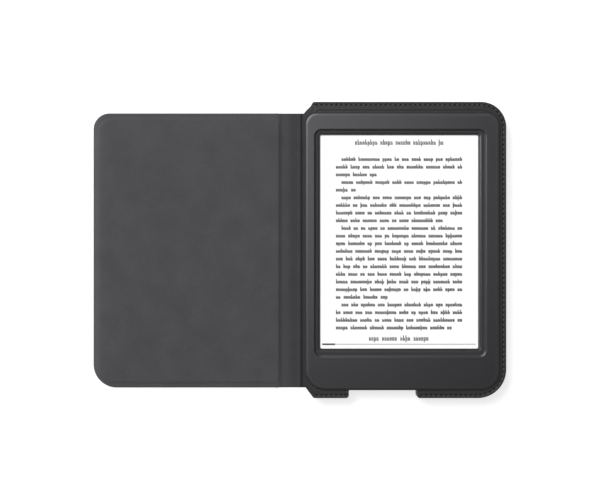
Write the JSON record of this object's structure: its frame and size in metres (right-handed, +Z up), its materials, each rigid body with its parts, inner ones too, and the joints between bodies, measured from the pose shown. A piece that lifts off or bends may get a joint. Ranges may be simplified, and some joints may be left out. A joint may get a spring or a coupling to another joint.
{
  "type": "e-book reader with folio cover",
  "caption": "Flat electronic-paper reader gripped in the stitched tray of an open leather folio whose front cover swings on a soft spine; the bottom edge has a key, a light and a charging port.",
  "frame": {"origin": "under the middle of the open folio's outline, on the surface that it lies on", "axes": "+X to the reader's right across the open folio, +Y to the top of the page, +Z up out of the page"},
  "size_m": [0.239, 0.1704, 0.011],
  "materials": {
    "leather": "fine-grained dark grey leather",
    "microfibre": "soft matte microfibre",
    "thread": "waxed sewing thread",
    "shell": "matte moulding",
    "stiffener": "plain board",
    "housing": "fine satin soft-touch",
    "film": "clear film with a fine matte coat",
    "mask": "printed border",
    "light_guide": "clear moulding",
    "page": "matte white",
    "flex_circuit": "amber film",
    "tape": "black adhesive foam",
    "steel": "plated",
    "circuit_board": "green solder mask",
    "chip": "moulded package",
    "battery_foil": "pouch foil",
    "lead": "insulated wire"
  },
  "bodies": {
    "base": {"tray_back_skin": "leather", "tray_shell": "shell", "tray_lining": "microfibre", "rim_skin": "leather", "rim_thread": "thread", "tab_thread": "thread", "tray_fold": "leather", "front_bezel": "housing", "rear_housing": "housing", "touch_film": "film", "screen_mask": "mask", "light_guide": "light_guide", "epaper_panel": "page", "frontlight_bar": "flex_circuit", "panel_tape": "tape", "mid_chassis": "steel", "chassis_screw_1": "steel", "chassis_screw_2": "steel", "chassis_screw_3": "steel", "chassis_screw_4": "steel", "chassis_screw_5": "steel", "chassis_screw_6": "steel", "main_board": "circuit_board", "processor_shield": "steel", "processor_chip": "chip", "memory_chip": "chip", "power_chip": "chip", "wifi_module": "steel", "battery_connector": "page", "hall_sensor": "chip", "reader_magnet_1": "steel", "reader_magnet_2": "steel", "battery_tape": "tape", "battery_cell": "battery_foil", "battery_lead": "lead", "display_ribbon": "flex_circuit", "touch_ribbon": "flex_circuit", "usb_port": "steel", "usb_tongue": "chip", "power_switch": "steel", "status_light": "light_guide"},
    "power_button": {"power_button": "housing"},
    "spine": {"spine_skin": "leather", "spine_lining": "microfibre"},
    "front_cover": {"cover_skin": "leather", "cover_board": "stiffener", "cover_lining": "microfibre", "closure_magnet_1": "steel", "closure_magnet_2": "steel", "sleep_magnet": "steel"}
  },
  "joints": [
    {"name": "spine_hinge", "type": "hinge", "parent": "base", "child": "spine", "pos_m": [0.00085, 0, -0.0001], "axis": [0, 1, 0], "range_deg": [-180, 90]},
    {"name": "cover_hinge", "type": "hinge", "parent": "spine", "child": "front_cover", "pos_m": [-0.0118, 0, 0.0009], "axis": [0, 1, 0], "range_deg": [0, 90]},
    {"name": "power_press", "type": "slide", "parent": "base", "child": "power_button", "axis": [0, 1, 0], "range_m": [0, 0.0004], "stiffness_N_per_m": 600}
  ]
}
